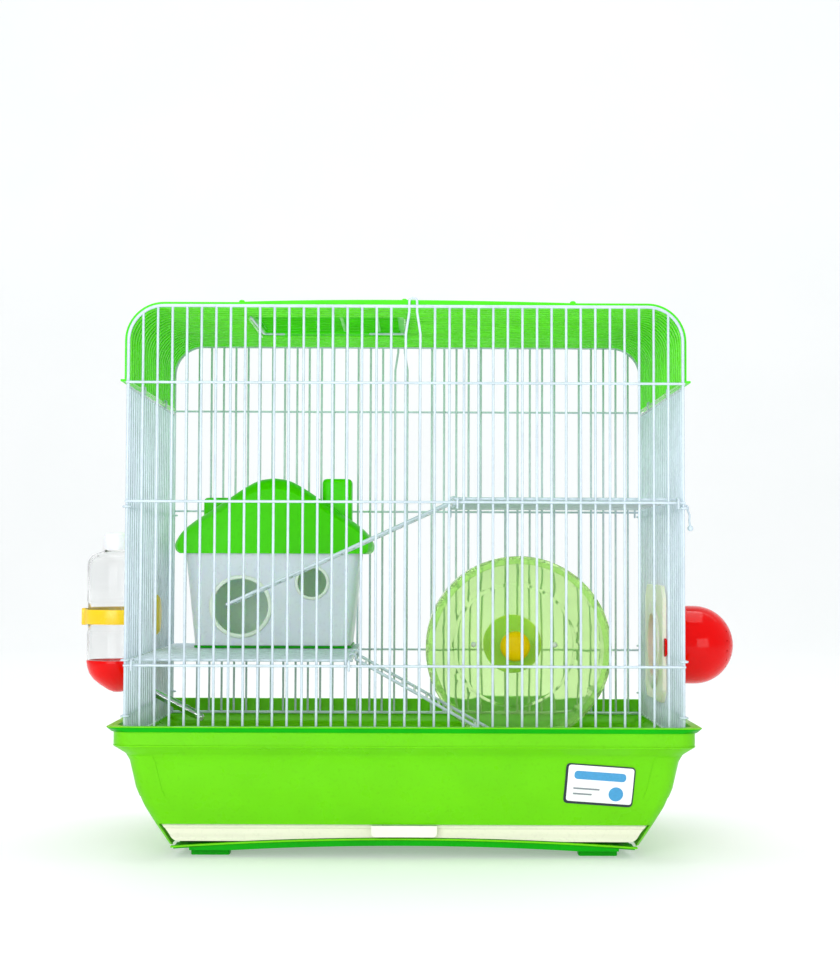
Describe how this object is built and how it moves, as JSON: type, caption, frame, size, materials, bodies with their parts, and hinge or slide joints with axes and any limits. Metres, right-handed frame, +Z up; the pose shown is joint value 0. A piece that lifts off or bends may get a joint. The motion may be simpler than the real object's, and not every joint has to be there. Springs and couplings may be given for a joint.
{
  "type": "hamster cage",
  "caption": "Two-level wire cage for a small pet: plastic tub with a pull-out tray, arched wire top with a roof hatch, shelves, ladders, house, wheel, water bottle and tunnel port.",
  "frame": {"origin": "on the floor under the middle of the cage, midway between its sides and between its front and back", "axes": "+X to the right seen from the front, +Y to the back, +Z up"},
  "size_m": [0.488, 0.264, 0.3856],
  "materials": {
    "lime_plastic": "glossy moulded lime-green plastic",
    "dark_lime_plastic": "satin moulded green plastic",
    "ivory_plastic": "satin ivory plastic",
    "label_film": "printed white film with a dark rounded border",
    "white_wire": "glossy white epoxy-coated steel wire",
    "green_wire": "glossy green epoxy-coated steel wire",
    "cover_plastic": "thin, slightly translucent green sheet",
    "steel": "polished stainless steel",
    "house_plastic": "satin pale grey-green plastic",
    "roof_plastic": "satin bright green plastic",
    "clear_green_plastic": "clear, light green tinted plastic",
    "yellow_plastic": "glossy yellow plastic",
    "clear_plastic": "clear colourless plastic",
    "white_plastic": "glossy white plastic",
    "red_plastic": "glossy red plastic",
    "cream_plastic": "satin cream plastic"
  },
  "bodies": {
    "base": {"base_tub": "lime_plastic", "base_stand": "dark_lime_plastic", "label": "label_film"},
    "drawer": {"drawer_tray": "ivory_plastic"},
    "cage_top": {"front_grille": "white_wire", "back_grille": "white_wire", "left_grille": "white_wire", "right_grille": "white_wire", "roof_grille": "green_wire", "roof_cover": "cover_plastic", "hatch_pin": "steel", "lower_shelf": "white_wire", "upper_shelf": "white_wire", "wheel_stand": "yellow_plastic", "wheel_cap": "yellow_plastic", "wheel_nut": "yellow_plastic", "side_plate": "cream_plastic", "tunnel_collar": "red_plastic", "bottle_band": "yellow_plastic", "bottle_clamp": "yellow_plastic"},
    "hatch": {"roof_hatch": "cover_plastic"},
    "hook": {"corner_hook": "white_wire"},
    "lower_ladder": {"lower_ladder": "white_wire"},
    "upper_ladder": {"upper_ladder": "white_wire"},
    "house": {"house_floor": "dark_lime_plastic", "house_body": "house_plastic"},
    "house_roof": {"house_roof": "roof_plastic"},
    "wheel": {"wheel_drum": "clear_green_plastic"},
    "bottle": {"bottle_shell": "clear_plastic", "spout_cap": "red_plastic", "spout_tube": "steel", "spout_ball": "steel"},
    "bottle_cap": {"bottle_top_cap": "white_plastic"},
    "tunnel": {"tunnel_dome": "red_plastic"}
  },
  "joints": [
    {"name": "drawer_slide", "type": "slide", "parent": "base", "child": "drawer", "axis": [0, -1, 0], "range_m": [0, 0.185]},
    {"name": "cage_lift", "type": "slide", "parent": "base", "child": "cage_top", "axis": [0, 0, 1], "range_m": [0, 0.12]},
    {"name": "hatch_hinge", "type": "hinge", "parent": "cage_top", "child": "hatch", "pos_m": [0, -0.007, 0.3839], "axis": [0, 1, 0], "range_deg": [0, 110]},
    {"name": "hook_swing", "type": "hinge", "parent": "cage_top", "child": "hook", "pos_m": [0.1919, -0.114, 0.2405], "axis": [0, -1, 0], "range_deg": [0, 100]},
    {"name": "lower_ladder_lift", "type": "hinge", "parent": "cage_top", "child": "lower_ladder", "pos_m": [-0.037, -0.045, 0.136], "axis": [0, -1, 0], "range_deg": [0, 50]},
    {"name": "upper_ladder_lift", "type": "hinge", "parent": "cage_top", "child": "upper_ladder", "pos_m": [0.034, -0.045, 0.2468], "axis": [0, 1, 0], "range_deg": [0, 55]},
    {"name": "house_lift", "type": "slide", "parent": "cage_top", "child": "house", "axis": [0, 0, 1], "range_m": [0, 0.04]},
    {"name": "house_roof_lift", "type": "slide", "parent": "house", "child": "house_roof", "axis": [0, 0, 1], "range_m": [0, 0.06]},
    {"name": "wheel_spin", "type": "hinge", "parent": "cage_top", "child": "wheel", "pos_m": [0.085, 0.0445, 0.138], "axis": [0, 1, 0], "continuous": true},
    {"name": "bottle_lift", "type": "slide", "parent": "cage_top", "child": "bottle", "axis": [0, 0, 1], "range_m": [0, 0.022]},
    {"name": "bottle_cap_pull", "type": "slide", "parent": "bottle", "child": "bottle_cap", "axis": [0, 0, 1], "range_m": [0, 0.02]},
    {"name": "tunnel_pull", "type": "slide", "parent": "cage_top", "child": "tunnel", "axis": [1, 0, 0], "range_m": [0, 0.05]}
  ]
}
